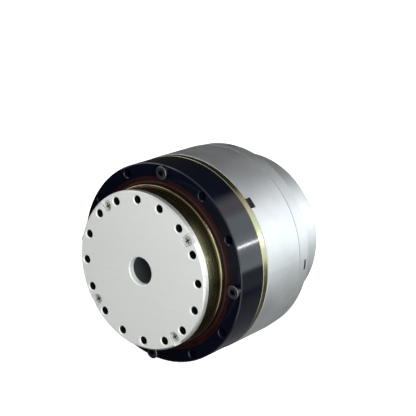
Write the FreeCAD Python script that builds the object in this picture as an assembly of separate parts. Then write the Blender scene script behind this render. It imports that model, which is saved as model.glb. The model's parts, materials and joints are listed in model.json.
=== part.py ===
import FreeCAD, Part
import math
import os

# Hollow robot joint actuator: a strain-wave gear with a crossed roller bearing in front, a
# frameless torque motor in the middle, and the encoders and drive under the rear cover.
#
# Millimetres. The joint axis lies along +Y and +Z is up. The origin is the centre of the output
# plate's front face. A depth is a distance along +Y from that face, a radius is a distance from
# the joint axis, and an angle about the axis runs from +X towards +Z.

# --- lengths along the axis -------------------------------------------------------------------
PLATE_THICKNESS = 3.3
SPLINE_FLANGE_LENGTH = 9.7      # polished ring between the plate and the bearing rim
RIM_LENGTH = 2.5                # bearing rim standing out of the mounting flange
FLANGE_LENGTH = 18.4            # black mounting flange, which is the bearing's outer ring
FLEX_FLANGE_LENGTH = 4.0        # flexspline flange clamped behind it
HOUSING_LENGTH = 28.8
REAR_HOUSING_LENGTH = 9.6
COVER_LENGTH = 23.0

# --- radial steps of the output side, each added to the one before it ------------------------------
BARREL_WALL = 3.25              # behind the circular spline's teeth
BOLT_INSET = 2.9                # output bolt circle outside the circular spline's barrel
PLATE_EDGE = 4.5                # plate's edge outside its bolt circle
PLATE_OVERHANG = 0.3            # plate's edge outside the polished ring
RIM_STEP = 0.9                  # bearing rim outside the polished ring
SEAL_WIDTH = 3.9
FLANGE_FACE_WIDTH = 7.2

# --- radial steps of the housings --------------------------------------------------------------------
FLEX_FLANGE_STEP = 0.1          # flexspline flange outside the black flange
HOUSING_STEP = 0.3              # housing outside the black flange
HOUSING_WALL = 6.9              # motor housing, outside the stator
REAR_HOUSING_TAPER = 0.7        # how much smaller the rear housing is at its rear face
COVER_STEP = 10.0               # rear cover inside the motor housing's outline

# --- edges ------------------------------------------------------------------------------------
PLATE_CHAMFER = 0.8
FLANGE_CHAMFER = 0.5
PARTING_CHAMFER = 0.35          # small bevel on each ring that shows between two housings
RIM_ROUND = 1.2
COVER_ROUND = 2.5
HOLE_CHAMFER = 0.4

# --- hollow shaft -----------------------------------------------------------------------------
BORE_RADIUS = 7.6
TUBE_WALL = 1.2
TUBE_FLANGE_STEP = 2.8
TUBE_FLANGE_THICKNESS = 1.0
TUBE_GAP = 0.8                  # between the still tube and the fast input shaft
COVER_GAP = 0.5                 # between the tube and the rear cover

# --- output bolt circle and its own screws ----------------------------------------------------
OUTPUT_HOLES = 16
OUTPUT_HOLE_RADIUS = 2.25
OUTPUT_FIRST_ANGLE = 2.1
PLATE_SCREWS = 4
PLATE_RECESS_RADIUS = 2.95      # recess for a plate screw's head, open to the plate's edge
PLATE_RECESS_DEPTH = 1.0
PLATE_COUNTERSINK_RADIUS = 2.9
SPLINE_SCREWS = 8

# --- mounting flange bolt circle: screws, clear holes and tapped holes in turn -------------------
FLANGE_HOLE_STEP = 3.5          # bolt circle outside the seal's seat
FLANGE_GROUPS = 4               # how often the three kinds repeat round the circle
FLANGE_FIRST_ANGLE = -4.4
FLANGE_SCREW_HOLE_RADIUS = 2.45
FLANGE_CLEAR_RADIUS = 2.25      # for the arm's M4 bolts
FLANGE_TAPPED_RADIUS = 1.65     # M4 tapping size, for jacking screws
FLANGE_TAPPED_MOUTH_RADIUS = 2.7
FLANGE_TAPPED_LEAD_RADIUS = 2.4 # start of the long taper that leads into the thread
FLANGE_TAPPED_LEAD_LENGTH = 2.5

# --- screws: M4 low socket heads, M3 socket heads, M3 countersunk heads ------------------------------
M4_RADIUS = 2.0
M4_HEAD_RADIUS = 3.5
M4_HEAD_HEIGHT = 2.8
M4_HEX = 3.0
M3_RADIUS = 1.5
M3_HEAD_RADIUS = 2.75
M3_HEAD_HEIGHT = 3.0
M3_HEX = 2.5
M3_FLAT_HEAD_RADIUS = 2.8
CROSS_WIDTH = 0.7
CROSS_LENGTH = 3.2
CROSS_DEPTH = 1.1
THREAD_CLEARANCE = 0.05         # plain shank in a plain hole that stands for a thread
HEAD_CLEARANCE = 0.25
M4_THREAD_DEPTH = 9.0
LINK_THREAD_DEPTH = 7.5         # output bolt circle's threads in the circular spline
M3_THREAD_DEPTH = 7.0
COVER_SCREW_THREAD = 3.5

# --- crossed roller bearing ---------------------------------------------------------------------
ROLLER_COUNT = 48
ROLLER_DIAMETER = 3.5
ROLLER_STEP = 2.1               # roller circle outside the bearing rim
ROLLER_DEPTH_IN_FLANGE = 9.8    # roller circle behind the flange's front face
RACE_GAP = 0.8                  # between the two races, across the roller circle
RACE_CLEARANCE = 0.06
SPACER_SHARE = 0.75             # size of a spacer's square, as a share of the roller
INNER_RING_BACK_GAP = 2.0       # inner ring's rear face in front of the flange's rear face

# --- oil seal -----------------------------------------------------------------------------------
SEAL_SEAT_LENGTH = 4.0
SEAL_RECESS = 0.3
SEAL_LIP_GAP = 0.1
SEAL_LIP_WIDTH = 1.2
SEAL_LIP_EDGE = 0.5
SEAL_LIP_RISE = 0.6             # lip's front edge in front of the groove around it
SEAL_WEB_THICKNESS = 1.1
SEAL_RIM_WIDTH = 1.3
SEAL_GROOVE = 0.3
SEAL_FIT = 0.03

# --- strain-wave gear ---------------------------------------------------------------------------
FLEX_TEETH = 100
TOOTH_DIFFERENCE = 2
TOOTH_ADDENDUM = 0.3
TOOTH_HEIGHT = 0.75
RELAXED_GAP = 0.3               # between the tooth tips with the flexspline round
TOOTH_FACE_LENGTH = 8.5
FLEX_FACE_EXTRA = 0.4           # flexspline teeth reach this far past the circular spline's
FLEX_RIM_WALL = 0.95
FLEX_CUP_WALL = 0.5
DIAPHRAGM_WALL = 0.6
DIAPHRAGM_SETBACK = 1.1         # diaphragm behind the front of the flexspline flange
DIAPHRAGM_INSET = 2.1           # edge of the diaphragm inside the bearing's outer race
CUP_BEND_RADIUS = 2.4
SPLINE_BORE_STEP = 0.65         # bore of the polished ring outside the tooth roots
BARREL_FIT = 0.03

# --- wave generator -----------------------------------------------------------------------------
PLUG_WALL = 8.64                # on the long side of the elliptical plug
WAVE_GAP = 0.3                  # between the outer race and the flexspline's bore
WAVE_RACE_WALL = 1.4
WAVE_BALL_RADIUS = 1.9
WAVE_BALL_COUNT = 16
WAVE_BALL_FIT = 0.03
WAVE_WIDTH = 7.2
WAVE_FRONT_INSET = 0.5          # wave generator behind the start of the teeth
WAVE_SCREWS = 4
WAVE_SCREW_STEP = 3.5           # screw circle outside the shaft's pilot
WAVE_SCREW_FIRST_ANGLE = 45.0

# --- input shaft and its two ball bearings ------------------------------------------------------
SHAFT_WALL = 2.9                # at the bearing seats
PILOT_STEP = 1.5                # wave generator's pilot outside the bearing seat
BODY_STEP = 1.0                 # shaft's body outside the pilot
SHAFT_FLANGE_EDGE = 3.5         # outside the wave generator's screw circle
SHAFT_FLANGE_LENGTH = 3.0
SHAFT_FRONT_GAP = 1.3           # shaft's front end behind the output plate
FRONT_BEARING_SECTION = 4.0     # from bore to outside
FRONT_BEARING_WIDTH = 5.0
REAR_BEARING_SECTION = 6.0
REAR_BEARING_WIDTH = 7.0
BEARING_RING_WALL = 1.1
SHIELD_THICKNESS = 0.4
SHIELD_GAP = 0.3
BOSS_WALL = 4.0
BOSS_LIP_LENGTH = 1.0
BOSS_LIP_HEIGHT = 1.0
NUT_WALL = 3.5
NUT_LENGTH = 4.0
NUT_SLOT_WIDTH = 4.0
NUT_SLOT_DEPTH = 1.6
CIRCLIP_THICKNESS = 1.0
CIRCLIP_WIDTH = 2.0
CIRCLIP_BITE = 0.8
CIRCLIP_MOUTH = 10.0

# --- motor --------------------------------------------------------------------------------------
STATOR_SLOTS = 12
STATOR_FIT = 0.05
STATOR_FRONT_OFFSET = 9.5       # stack behind the housing's front face
STATOR_BACK_IRON = 4.2
STATOR_TOOTH_WIDTH = 8.0
STATOR_SHOE = 2.6
SLOT_DEPTH = 9.1                # between the tooth's shoe and the back iron
SLOT_MOUTH = 2.6
AIR_GAP = 0.7
COIL_WALL = 2.6
COIL_FIT = 0.1
COIL_OVERHANG = 3.0
COIL_REAR_GAP = 0.7             # between the coils and the bearing plate
COIL_END_CLEARANCE = 0.4
MAGNET_COUNT = 20
MAGNET_THICKNESS = 2.5
MAGNET_SHARE = 0.83             # magnet arc as a share of the pole pitch
ROTOR_RIM_WALL = 3.4
ROTOR_WEB_LENGTH = 6.0
ROTOR_HUB_WALL = 3.0

# --- motor housing ------------------------------------------------------------------------------
KEY_ANGLE = 40.5
KEY_WIDTH = 6.0
KEY_LENGTH = 3.7
KEY_DEPTH = 3.0
KEY_RECESS = 0.45
KEY_FIT = 0.05

# --- bearing plate between the motor and the rear housing ----------------------------------------
BEARING_PLATE_THICKNESS = 3.0
BEARING_PLATE_EDGE = 3.0        # outside the rear screw circle
BEARING_PLATE_FIT = 0.05
REAR_SCREW_STEP = 2.3           # screw circle outside the stator
REAR_SCREWS = 6

# --- rear housing -------------------------------------------------------------------------------
REAR_BORE_STEP = 3.5            # bore inside the rear screw circle
REAR_WALL_THICKNESS = 3.0
COVER_SEAT_WIDTH = 2.9          # ring that the cover sits on, around the opening
REAR_EDGE_ROUND = 0.9
SPANNER_SLOTS = 4
SPANNER_SLOT_FIRST_ANGLE = -4.2
SPANNER_SLOT_WIDTH = 5.8
SPANNER_SLOT_LENGTH = 1.8
SPANNER_SLOT_DEPTH = 1.6
SPANNER_SLOT_SETBACK = 3.0      # slot in front of the rear face

# --- rear cover ---------------------------------------------------------------------------------
COVER_WALL = 2.0
COVER_BACK_WALL = 2.5
SPIGOT_LENGTH = 1.5
SPIGOT_WALL = 1.5
SPIGOT_FIT = 0.05

# --- boards, encoders and sockets ---------------------------------------------------------------
BOARD_THICKNESS = 1.6
BOARD_EDGE_GAP = 0.8
POST_COUNT = 4
POST_FIRST_ANGLE = 45.0
POST_INSET = 3.45               # post circle inside the cover's spigot
POST_RADIUS = 2.8
POST_STUD_LENGTH = 2.5          # stud beyond the board or plate it goes through
POST_STUD_GAP = 0.3             # left at the bottom of a stud's hole
ENCODER_BOARD_SETBACK = 1.6     # board behind the motor encoder disc
ENCODER_BOARD_BORE_RADIUS = 14.5
DISC_THICKNESS = 1.6
MOTOR_DISC_RADIUS = 24.0
OUTPUT_DISC_RADIUS = 22.0
OUTPUT_DISC_SETBACK = 1.6       # output disc behind the encoder board
BOARD_SPACING = 8.4
DRIVER_BOARD_BORE_RADIUS = 11.0
SENSOR_SIZE = 5.0
SENSOR_THICKNESS = 0.9
CAPACITOR_RADIUS = 3.0
CAPACITOR_HEIGHT = 6.0
CAPACITOR_ANGLES = (-12.0, 0.0, 12.0)
CAPACITOR_INSET = 5.65          # from the board's edge
SWITCH_SIZE = 5.0
SWITCH_THICKNESS = 1.2
SWITCH_ANGLES = (150.0, 170.0, 190.0, 210.0)
SWITCH_INSET = 8.65
SOCKET_INSET = 10.0             # middle of a socket inside the post circle
SOCKET_WALL = 1.2
SOCKET_FLOOR = 1.4
SOCKET_MOUTH_SETBACK = 0.3      # socket's mouth in front of the cover's rear face
SOCKET_FIT = 0.3
PIN_PITCH = 3.0
PIN_LENGTH = 3.0                # how far a pin stands above the socket's floor
PIN_WIDTH = 0.8
POWER_ANGLE = 90.0
POWER_WIDTH = 15.0
POWER_HEIGHT = 10.0
POWER_PIN_COLUMNS = 4
POWER_PIN_ROWS = 2
SIGNAL_ANGLE = 270.0
SIGNAL_WIDTH = 19.0
SIGNAL_HEIGHT = 8.0
SIGNAL_PIN_COLUMNS = 5
SIGNAL_PIN_ROWS = 1

# --- stations along the axis ----------------------------------------------------------------------
plate_back = PLATE_THICKNESS
spline_back = plate_back + SPLINE_FLANGE_LENGTH
flange_front = spline_back + RIM_LENGTH
flange_back = flange_front + FLANGE_LENGTH
housing_front = flange_back + FLEX_FLANGE_LENGTH
housing_back = housing_front + HOUSING_LENGTH
rear_face = housing_back + REAR_HOUSING_LENGTH
cover_back = rear_face + COVER_LENGTH

teeth_front = spline_back
teeth_back = teeth_front + TOOTH_FACE_LENGTH
wave_front = teeth_front + WAVE_FRONT_INSET
wave_back = wave_front + WAVE_WIDTH
shaft_flange_back = wave_back + SHAFT_FLANGE_LENGTH
front_bearing_front = plate_back + SHAFT_FRONT_GAP
front_bearing_back = front_bearing_front + FRONT_BEARING_WIDTH
stack_front = housing_front + STATOR_FRONT_OFFSET
bearing_plate_front = housing_back - BEARING_PLATE_THICKNESS
stack_back = bearing_plate_front - COIL_REAR_GAP - COIL_OVERHANG
rear_bearing_front = bearing_plate_front - BOSS_LIP_LENGTH
rear_bearing_back = rear_bearing_front + REAR_BEARING_WIDTH
nut_back = rear_bearing_back + NUT_LENGTH
motor_disc_back = nut_back + DISC_THICKNESS
encoder_board_front = motor_disc_back + ENCODER_BOARD_SETBACK
encoder_board_back = encoder_board_front + BOARD_THICKNESS
output_disc_front = encoder_board_back + OUTPUT_DISC_SETBACK
driver_board_front = encoder_board_back + BOARD_SPACING
driver_board_back = driver_board_front + BOARD_THICKNESS
cover_wall_front = cover_back - COVER_BACK_WALL

# --- radii, worked out from the cable bore outwards --------------------------------------------------
tube_radius = BORE_RADIUS + TUBE_WALL
tube_flange_radius = tube_radius + TUBE_FLANGE_STEP
shaft_bore_radius = tube_radius + TUBE_GAP
shaft_seat_radius = shaft_bore_radius + SHAFT_WALL
shaft_pilot_radius = shaft_seat_radius + PILOT_STEP
shaft_body_radius = shaft_pilot_radius + BODY_STEP
wave_screw_pitch_radius = shaft_pilot_radius + WAVE_SCREW_STEP
shaft_flange_radius = wave_screw_pitch_radius + SHAFT_FLANGE_EDGE
front_bearing_radius = shaft_seat_radius + FRONT_BEARING_SECTION
rear_bearing_radius = shaft_seat_radius + REAR_BEARING_SECTION
front_boss_radius = front_bearing_radius + BOSS_WALL
rear_boss_radius = rear_bearing_radius + BOSS_WALL
nut_radius = shaft_seat_radius + NUT_WALL

ball_inset = WAVE_RACE_WALL + WAVE_BALL_RADIUS + WAVE_BALL_FIT      # from the outer race to a ball
plug_inset = 2 * ball_inset
wave_long_radius = shaft_pilot_radius + PLUG_WALL + plug_inset
flex_bore_radius = wave_long_radius + WAVE_GAP
flex_root_radius = flex_bore_radius + FLEX_RIM_WALL
flex_tip_radius = flex_root_radius + TOOTH_HEIGHT
tooth_module = 2 * (flex_tip_radius - TOOTH_ADDENDUM) / FLEX_TEETH
wave_short_radius = wave_long_radius - tooth_module * TOOTH_DIFFERENCE
circular_tip_radius = flex_tip_radius + RELAXED_GAP
circular_root_radius = circular_tip_radius + TOOTH_HEIGHT
spline_bore_radius = circular_root_radius + SPLINE_BORE_STEP
barrel_radius = circular_root_radius + BARREL_WALL
output_pitch_radius = barrel_radius + BOLT_INSET
plate_radius = output_pitch_radius + PLATE_EDGE
spline_radius = plate_radius - PLATE_OVERHANG
rim_radius = spline_radius + RIM_STEP
roller_pitch_radius = rim_radius + ROLLER_STEP
race_inner_radius = roller_pitch_radius - RACE_GAP / 2
race_outer_radius = roller_pitch_radius + RACE_GAP / 2
groove_reach = (ROLLER_DIAMETER / 2 + RACE_CLEARANCE) * math.sqrt(2)
roller_depth = flange_front + ROLLER_DEPTH_IN_FLANGE
diaphragm_radius = race_outer_radius - DIAPHRAGM_INSET
seal_seat_radius = rim_radius + SEAL_WIDTH
flange_radius = seal_seat_radius + FLANGE_FACE_WIDTH
flange_pitch_radius = seal_seat_radius + FLANGE_HOLE_STEP

flex_flange_radius = flange_radius + FLEX_FLANGE_STEP
housing_radius = flange_radius + HOUSING_STEP
key_floor_radius = housing_radius - KEY_DEPTH
stator_radius = housing_radius - HOUSING_WALL
slot_floor_radius = stator_radius - STATOR_BACK_IRON
shoe_radius = slot_floor_radius - SLOT_DEPTH
stator_bore_radius = shoe_radius - STATOR_SHOE
rotor_radius = stator_bore_radius - AIR_GAP
rotor_core_radius = rotor_radius - MAGNET_THICKNESS
rear_screw_pitch_radius = stator_radius + REAR_SCREW_STEP
bearing_plate_radius = rear_screw_pitch_radius + BEARING_PLATE_EDGE
rear_housing_bore_radius = rear_screw_pitch_radius - REAR_BORE_STEP
cover_radius = housing_radius - COVER_STEP
cover_bore_radius = cover_radius - COVER_WALL
rear_opening_radius = cover_radius - COVER_SEAT_WIDTH
spigot_radius = rear_opening_radius - SPIGOT_FIT
spigot_bore_radius = spigot_radius - SPIGOT_WALL
board_radius = spigot_bore_radius - BOARD_EDGE_GAP
post_pitch_radius = spigot_bore_radius - POST_INSET
capacitor_pitch_radius = board_radius - CAPACITOR_INSET
switch_pitch_radius = board_radius - SWITCH_INSET
socket_pitch_radius = post_pitch_radius - SOCKET_INSET

# --- angles about the axis -----------------------------------------------------------------------------
output_hole_spacing = 360.0 / OUTPUT_HOLES
plate_screw_first_angle = OUTPUT_FIRST_ANGLE + 1.5 * output_hole_spacing
spline_screw_first_angle = OUTPUT_FIRST_ANGLE + 0.5 * output_hole_spacing
flange_hole_spacing = 360.0 / (3 * FLANGE_GROUPS)
flange_clear_first_angle = FLANGE_FIRST_ANGLE + flange_hole_spacing
flange_tapped_first_angle = FLANGE_FIRST_ANGLE + 2 * flange_hole_spacing

# a socket: its angle, width, height, pin columns and pin rows
POWER_SOCKET = (POWER_ANGLE, POWER_WIDTH, POWER_HEIGHT, POWER_PIN_COLUMNS, POWER_PIN_ROWS)
SIGNAL_SOCKET = (SIGNAL_ANGLE, SIGNAL_WIDTH, SIGNAL_HEIGHT, SIGNAL_PIN_COLUMNS, SIGNAL_PIN_ROWS)

ORIGIN = FreeCAD.Vector(0, 0, 0)
AXIS = FreeCAD.Vector(0, 1, 0)
OVERCUT = 1.0                   # how far a cutting tool runs past the face it opens


# --- construction helpers -------------------------------------------------------------------------
def turned(*corners, sweep=360.0):
    """Solid turned about the joint axis from (radius, depth) corners."""
    points = []
    for radius, depth in corners:
        point = FreeCAD.Vector(radius, depth, 0)
        if not points or points[-1].distanceToPoint(point) > 1e-6:
            points.append(point)
    outline = Part.Face(Part.makePolygon(points + points[:1]))
    return outline.revolve(ORIGIN, AXIS, sweep)


def ring(inner, outer, front, back, chamfer=0.0):
    """Ring between two radii and two depths, with its outer edges chamfered."""
    return turned((inner, front), (outer - chamfer, front), (outer, front + chamfer),
                  (outer, back - chamfer), (outer - chamfer, back), (inner, back))


def rod(radius, front, back, off_axis=0.0):
    """Round bar parallel to the axis, on the +X side of it."""
    return Part.makeCylinder(radius, back - front, FreeCAD.Vector(off_axis, front, 0), AXIS)


def cone(front_radius, back_radius, front, back, off_axis=0.0):
    """Cone parallel to the axis, on the +X side of it."""
    place = FreeCAD.Vector(off_axis, front, 0)
    return Part.makeCone(front_radius, back_radius, back - front, place, AXIS)


def block(near, far, width, front, back):
    """Box on the +X side of the axis: near and far are its radii, width is across them."""
    corner = FreeCAD.Vector(near, front, -width / 2)
    return Part.makeBox(far - near, back - front, width, corner)


def prism(points, front, back):
    """Prism along the axis from points given as (x, z)."""
    corners = [FreeCAD.Vector(x, front, z) for x, z in points]
    outline = Part.Face(Part.makePolygon(corners + corners[:1]))
    return outline.extrude(FreeCAD.Vector(0, back - front, 0))


def polar(radius, angle):
    """(x, z) of a point given by its radius and its angle in degrees."""
    turn = math.radians(angle)
    return radius * math.cos(turn), radius * math.sin(turn)


def spaced(first, count):
    """Evenly spaced angles about the axis."""
    return [first + index * 360.0 / count for index in range(count)]


def around(shape, angles):
    """Copies of a shape turned to each angle about the joint axis."""
    copies = []
    for angle in angles:
        copy = shape.copy()
        copy.rotate(ORIGIN, AXIS, -angle)
        copies.append(copy)
    return copies


def rims(solid, places):
    """Circular edges of a turned solid at the given (radius, depth) places."""
    found = []
    for edge in solid.Edges:
        if not isinstance(edge.Curve, Part.Circle):
            continue
        for radius, depth in places:
            same_radius = abs(edge.Curve.Radius - radius) < 1e-6
            same_depth = abs(edge.Curve.Center.y - depth) < 1e-6
            if same_radius and same_depth:
                found.append(edge)
    return found


def rounded(solid, size, *places):
    """Fillet the circular edges at the given (radius, depth) places."""
    return solid.makeFillet(size, rims(solid, places))


def hex_prism(across, front, back, off_axis):
    """Hexagonal bar parallel to the axis, sized across its flats."""
    corner_radius = across / math.sqrt(3)
    corners = [polar(corner_radius, angle) for angle in spaced(0, 6)]
    return prism([(off_axis + x, z) for x, z in corners], front, back)


def socket_screw(radius, head_radius, head_height, across, seat, length, off_axis):
    """Socket head screw whose head bears on the depth `seat` and whose shank runs rearwards."""
    head_front = seat - head_height
    head = ring(0, head_radius, head_front, seat, 0.0)
    head = head.makeChamfer(head_radius * 0.08, rims(head, [(head_radius, head_front)]))
    head.translate(FreeCAD.Vector(off_axis, 0, 0))
    shank = rod(radius, seat, seat + length, off_axis)
    socket = hex_prism(across, head_front - OVERCUT, head_front + head_height * 0.55, off_axis)
    return head.fuse(shank).cut(socket).removeSplitter()


def flat_screw(radius, head_radius, head_front, length, off_axis, facing=1):
    """Countersunk cross-recess screw; facing -1 points its head at the rear instead."""
    head_depth = head_radius - radius
    head = cone(head_radius, radius, 0, head_depth)
    shank = rod(radius, head_depth, length)
    bars = [block(-CROSS_LENGTH / 2, CROSS_LENGTH / 2, CROSS_WIDTH, -OVERCUT, CROSS_DEPTH)]
    bars += around(bars[0], [90.0])
    screw = head.fuse(shank).cut(bars).removeSplitter()
    if facing < 0:
        screw.rotate(ORIGIN, FreeCAD.Vector(1, 0, 0), 180)
    screw.translate(FreeCAD.Vector(off_axis, head_front, 0))
    return screw


def countersink(radius, hole_radius, face, through, off_axis, facing=1):
    """Tool for a 90 degree countersink and its clearance hole, entered from the depth `face`."""
    point = face + facing * (radius - hole_radius)
    mouth = face - facing * OVERCUT
    wide = radius + OVERCUT
    front, back = sorted((mouth, point))
    radii = (wide, hole_radius) if facing > 0 else (hole_radius, wide)
    hole_front, hole_back = sorted((point, through))
    return cone(*radii, front, back, off_axis).fuse(rod(hole_radius, hole_front, hole_back, off_axis))


def toothed_outline(teeth, root_radius, tip_radius):
    """Points of a ring of straight-sided teeth, root to tip to tip to root for each tooth."""
    pitch = 360.0 / teeth
    shares = ((-0.3, root_radius), (-0.16, tip_radius), (0.16, tip_radius), (0.3, root_radius))
    return [polar(radius, (tooth + share) * pitch) for tooth in range(teeth) for share, radius in shares]


def oval(long_radius, short_radius, front, back):
    """Elliptical bar about the joint axis, long across X."""
    edge = Part.Ellipse(ORIGIN, long_radius, short_radius).toShape()
    face = Part.Face(Part.Wire([edge]))
    face.rotate(ORIGIN, FreeCAD.Vector(1, 0, 0), 90)
    face.translate(FreeCAD.Vector(0, front, 0))
    return face.extrude(FreeCAD.Vector(0, back - front, 0))


def oval_ring(inset, wall, front, back):
    """Elliptical ring whose outside lies `inset` inside the wave generator's outline."""
    outside = oval(wave_long_radius - inset, wave_short_radius - inset, front, back)
    hole = oval(wave_long_radius - inset - wall, wave_short_radius - inset - wall,
                front - OVERCUT, back + OVERCUT)
    return outside.cut(hole)


def bearing_inner_race(bore, width_front, width_back):
    """Inner ring of a shielded ball bearing."""
    return ring(bore, bore + BEARING_RING_WALL, width_front, width_back)


def shielded_outer_race(bore, outer, front, back):
    """Outer ring of a ball bearing with its two shields, which stop short of the inner ring."""
    race = outer - BEARING_RING_WALL
    shield = bore + BEARING_RING_WALL + SHIELD_GAP
    return turned((outer, front), (outer, back), (shield, back), (shield, back - SHIELD_THICKNESS),
                  (race, back - SHIELD_THICKNESS), (race, front + SHIELD_THICKNESS),
                  (shield, front + SHIELD_THICKNESS), (shield, front))


# --- output side: everything that turns with the robot link ----------------------------------------
def output_plate():
    """Front plate with the link's bolt circle, and the boss that carries the front bearing."""
    seat_back = front_bearing_back
    plate = turned((BORE_RADIUS + HOLE_CHAMFER, 0), (plate_radius - PLATE_CHAMFER, 0),
                   (plate_radius, PLATE_CHAMFER), (plate_radius, plate_back),
                   (front_boss_radius, plate_back), (front_boss_radius, seat_back),
                   (front_bearing_radius, seat_back), (front_bearing_radius, front_bearing_front),
                   (front_bearing_radius - BOSS_LIP_HEIGHT, front_bearing_front),
                   (front_bearing_radius - BOSS_LIP_HEIGHT, plate_back),
                   (BORE_RADIUS, plate_back), (BORE_RADIUS, HOLE_CHAMFER))
    hole = rod(OUTPUT_HOLE_RADIUS, -OVERCUT, plate_back + OVERCUT, output_pitch_radius)
    bevel = cone(OUTPUT_HOLE_RADIUS + HOLE_CHAMFER + OVERCUT, OUTPUT_HOLE_RADIUS,
                 -OVERCUT, HOLE_CHAMFER, output_pitch_radius)
    tools = around(hole.fuse(bevel), spaced(OUTPUT_FIRST_ANGLE, OUTPUT_HOLES))
    floor = PLATE_RECESS_DEPTH
    passage_radius = M3_RADIUS + HEAD_CLEARANCE
    point = floor + PLATE_COUNTERSINK_RADIUS - passage_radius
    recess = rod(PLATE_RECESS_RADIUS, -OVERCUT, floor, output_pitch_radius)
    recess = recess.fuse(block(output_pitch_radius, plate_radius + OVERCUT, 2 * PLATE_RECESS_RADIUS,
                               -OVERCUT, floor))
    sink = cone(PLATE_COUNTERSINK_RADIUS, passage_radius, floor, point, output_pitch_radius)
    passage = rod(passage_radius, point, plate_back + OVERCUT, output_pitch_radius)
    plate_screw_angles = spaced(plate_screw_first_angle, PLATE_SCREWS)
    for tool in (recess, sink, passage):
        tools += around(tool, plate_screw_angles)
    return plate.cut(tools)


def plate_screws():
    """Cross-recess screws that hold the plate to the circular spline, heads below the face."""
    head_front = PLATE_RECESS_DEPTH + PLATE_COUNTERSINK_RADIUS - M3_FLAT_HEAD_RADIUS
    screw = flat_screw(M3_RADIUS, M3_FLAT_HEAD_RADIUS, head_front, M3_THREAD_DEPTH,
                       output_pitch_radius)
    return around(screw, spaced(plate_screw_first_angle, PLATE_SCREWS))


def circular_spline():
    """Rigid ring with the internal teeth, which turns with the output."""
    flange = ring(spline_bore_radius, spline_radius, plate_back, spline_back, PARTING_CHAMFER)
    barrel = rod(barrel_radius, teeth_front, teeth_back)
    teeth = toothed_outline(FLEX_TEETH + TOOTH_DIFFERENCE, circular_root_radius, circular_tip_radius)
    barrel = barrel.cut(prism(teeth, teeth_front - OVERCUT, teeth_back + OVERCUT))
    solid = flange.fuse(barrel)
    front = plate_back - OVERCUT
    link_thread = rod(M4_RADIUS + THREAD_CLEARANCE, front, plate_back + LINK_THREAD_DEPTH,
                      output_pitch_radius)
    tools = around(link_thread, spaced(OUTPUT_FIRST_ANGLE, OUTPUT_HOLES))
    plate_thread = rod(M3_RADIUS + THREAD_CLEARANCE, front, plate_back + M3_THREAD_DEPTH,
                       output_pitch_radius)
    tools += around(plate_thread, spaced(plate_screw_first_angle, PLATE_SCREWS))
    head_room = rod(M3_HEAD_RADIUS + HEAD_CLEARANCE, front,
                    plate_back + M3_HEAD_HEIGHT + HEAD_CLEARANCE, output_pitch_radius)
    passage = rod(M3_RADIUS + HEAD_CLEARANCE, front, spline_back + OVERCUT, output_pitch_radius)
    tools += around(head_room.fuse(passage), spaced(spline_screw_first_angle, SPLINE_SCREWS))
    return solid.cut(tools)


def spline_screws():
    """Socket screws, under the plate, that hold the circular spline to the bearing."""
    seat = plate_back + M3_HEAD_HEIGHT + HEAD_CLEARANCE
    length = spline_back + M3_THREAD_DEPTH - seat
    screw = socket_screw(M3_RADIUS, M3_HEAD_RADIUS, M3_HEAD_HEIGHT, M3_HEX, seat, length,
                         output_pitch_radius)
    return around(screw, spaced(spline_screw_first_angle, SPLINE_SCREWS))


def bearing_inner_ring():
    """Inner ring of the crossed roller bearing, with the rounded rim that the seal runs on."""
    bore = barrel_radius + BARREL_FIT
    back = flange_back - INNER_RING_BACK_GAP
    shoulder = flange_front + SEAL_SEAT_LENGTH
    step = race_inner_radius - rim_radius
    apex = roller_pitch_radius - groove_reach
    mouth = race_inner_radius - apex
    solid = turned((bore, spline_back), (rim_radius, spline_back), (rim_radius, shoulder),
                   (race_inner_radius, shoulder + step), (race_inner_radius, roller_depth - mouth),
                   (apex, roller_depth), (race_inner_radius, roller_depth + mouth),
                   (race_inner_radius, back), (bore, back))
    solid = rounded(solid, RIM_ROUND, (rim_radius, spline_back))
    thread = rod(M3_RADIUS + THREAD_CLEARANCE, spline_back - OVERCUT, spline_back + M3_THREAD_DEPTH,
                 output_pitch_radius)
    return solid.cut(around(thread, spaced(spline_screw_first_angle, SPLINE_SCREWS)))


def front_bearing_outer_ring():
    """Outer ring of the input shaft's front bearing, pressed into the plate's boss."""
    return shielded_outer_race(shaft_seat_radius, front_bearing_radius,
                               front_bearing_front, front_bearing_back)


def cable_tube():
    """Tube for cables from the output plate to the rear cover, turning with the output."""
    flange_end = plate_back + TUBE_FLANGE_THICKNESS
    return turned((BORE_RADIUS, plate_back), (tube_flange_radius, plate_back),
                  (tube_flange_radius, flange_end), (tube_radius, flange_end),
                  (tube_radius, cover_back), (BORE_RADIUS, cover_back))


def output_encoder_disc():
    """Magnetic disc on the cable tube that reads the output's angle."""
    return ring(tube_radius, OUTPUT_DISC_RADIUS, output_disc_front, output_disc_front + DISC_THICKNESS)


# --- crossed rollers -----------------------------------------------------------------------------
def crossed_roller(tilt):
    """One roller on the +X side, its axis tilted in the plane of the joint axis."""
    length = ROLLER_DIAMETER
    roller = Part.makeCylinder(ROLLER_DIAMETER / 2, length, FreeCAD.Vector(0, -length / 2, 0), AXIS)
    roller.rotate(ORIGIN, FreeCAD.Vector(0, 0, 1), tilt)
    roller.translate(FreeCAD.Vector(roller_pitch_radius, roller_depth, 0))
    return roller


def crossed_rollers():
    """Rollers that lean alternately forwards and backwards."""
    angles = spaced(0, ROLLER_COUNT)
    return around(crossed_roller(45.0), angles[0::2]) + around(crossed_roller(-45.0), angles[1::2])


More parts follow.
